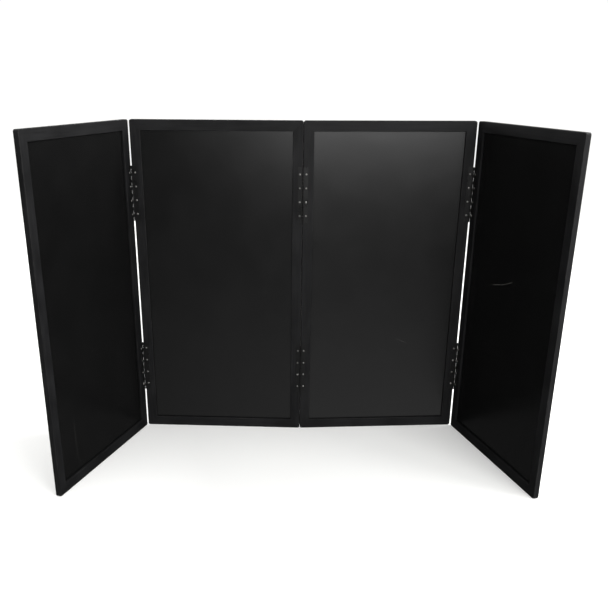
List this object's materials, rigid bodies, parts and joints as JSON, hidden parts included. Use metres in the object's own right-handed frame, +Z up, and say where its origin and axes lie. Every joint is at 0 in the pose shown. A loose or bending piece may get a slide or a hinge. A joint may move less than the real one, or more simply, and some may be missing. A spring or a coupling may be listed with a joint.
{
  "type": "folding panel screen",
  "caption": "Free-standing black folding screen of framed flat panels joined by short continuous hinges, for masking a stage or table front.",
  "frame": {"origin": "centre of the standing screen's footprint box, on the floor", "axes": "+X across the screen to the right as seen from its inner, hinged side; +Y from the inner side through the middle panels to the outer side; +Z up"},
  "size_m": [1.6824, 0.6362, 1.2192],
  "materials": {
    "frame_paint": "matte black paint over the frame's wood",
    "board_face": "satin black faced hardboard",
    "tongue_wood": "plain beech",
    "black_steel": "black coated steel, semi-gloss",
    "bright_steel": "bright zinc-plated steel"
  },
  "bodies": {
    "left_middle": {"left_middle_centre_stile": "frame_paint", "left_middle_outer_stile": "frame_paint", "left_middle_bottom_rail": "frame_paint", "left_middle_top_rail": "frame_paint", "left_middle_board": "board_face", "left_middle_bottom_inner_tongue": "tongue_wood", "left_middle_bottom_outer_tongue": "tongue_wood", "left_middle_top_inner_tongue": "tongue_wood", "left_middle_top_outer_tongue": "tongue_wood", "left_lower_hinge_middle_leaf": "black_steel", "left_lower_hinge_pin": "bright_steel", "left_upper_hinge_middle_leaf": "black_steel", "left_upper_hinge_pin": "bright_steel", "centre_lower_hinge_left_leaf": "black_steel", "centre_lower_hinge_pin": "bright_steel", "centre_upper_hinge_left_leaf": "black_steel", "centre_upper_hinge_pin": "bright_steel"},
    "left_wing": {"left_wing_hinge_stile": "frame_paint", "left_wing_outer_stile": "frame_paint", "left_wing_bottom_rail": "frame_paint", "left_wing_top_rail": "frame_paint", "left_wing_board": "board_face", "left_wing_bottom_inner_tongue": "tongue_wood", "left_wing_bottom_outer_tongue": "tongue_wood", "left_wing_top_inner_tongue": "tongue_wood", "left_wing_top_outer_tongue": "tongue_wood", "left_lower_hinge_wing_leaf": "black_steel", "left_upper_hinge_wing_leaf": "black_steel"},
    "right_middle": {"right_middle_centre_stile": "frame_paint", "right_middle_outer_stile": "frame_paint", "right_middle_bottom_rail": "frame_paint", "right_middle_top_rail": "frame_paint", "right_middle_board": "board_face", "right_middle_bottom_inner_tongue": "tongue_wood", "right_middle_bottom_outer_tongue": "tongue_wood", "right_middle_top_inner_tongue": "tongue_wood", "right_middle_top_outer_tongue": "tongue_wood", "right_lower_hinge_middle_leaf": "black_steel", "right_lower_hinge_pin": "bright_steel", "right_upper_hinge_middle_leaf": "black_steel", "right_upper_hinge_pin": "bright_steel", "centre_lower_hinge_right_leaf": "black_steel", "centre_upper_hinge_right_leaf": "black_steel"},
    "right_wing": {"right_wing_hinge_stile": "frame_paint", "right_wing_outer_stile": "frame_paint", "right_wing_bottom_rail": "frame_paint", "right_wing_top_rail": "frame_paint", "right_wing_board": "board_face", "right_wing_bottom_inner_tongue": "tongue_wood", "right_wing_bottom_outer_tongue": "tongue_wood", "right_wing_top_inner_tongue": "tongue_wood", "right_wing_top_outer_tongue": "tongue_wood", "right_lower_hinge_wing_leaf": "black_steel", "right_upper_hinge_wing_leaf": "black_steel"}
  },
  "joints": [
    {"name": "left_wing_fold", "type": "hinge", "parent": "left_middle", "child": "left_wing", "pos_m": [-0.61308, 0.29675, 0.6096], "axis": [0, 0, 1], "range_deg": [-80.2, 106]},
    {"name": "centre_fold", "type": "hinge", "parent": "left_middle", "child": "right_middle", "pos_m": [0.02362, 0.26227, 0.6096], "axis": [0, 0, -1], "range_deg": [0, 81.2]},
    {"name": "right_wing_fold", "type": "hinge", "parent": "right_middle", "child": "right_wing", "pos_m": [0.66032, 0.29675, 0.6096], "axis": [0, 0, -1], "range_deg": [-84.7, 93.5]}
  ]
}
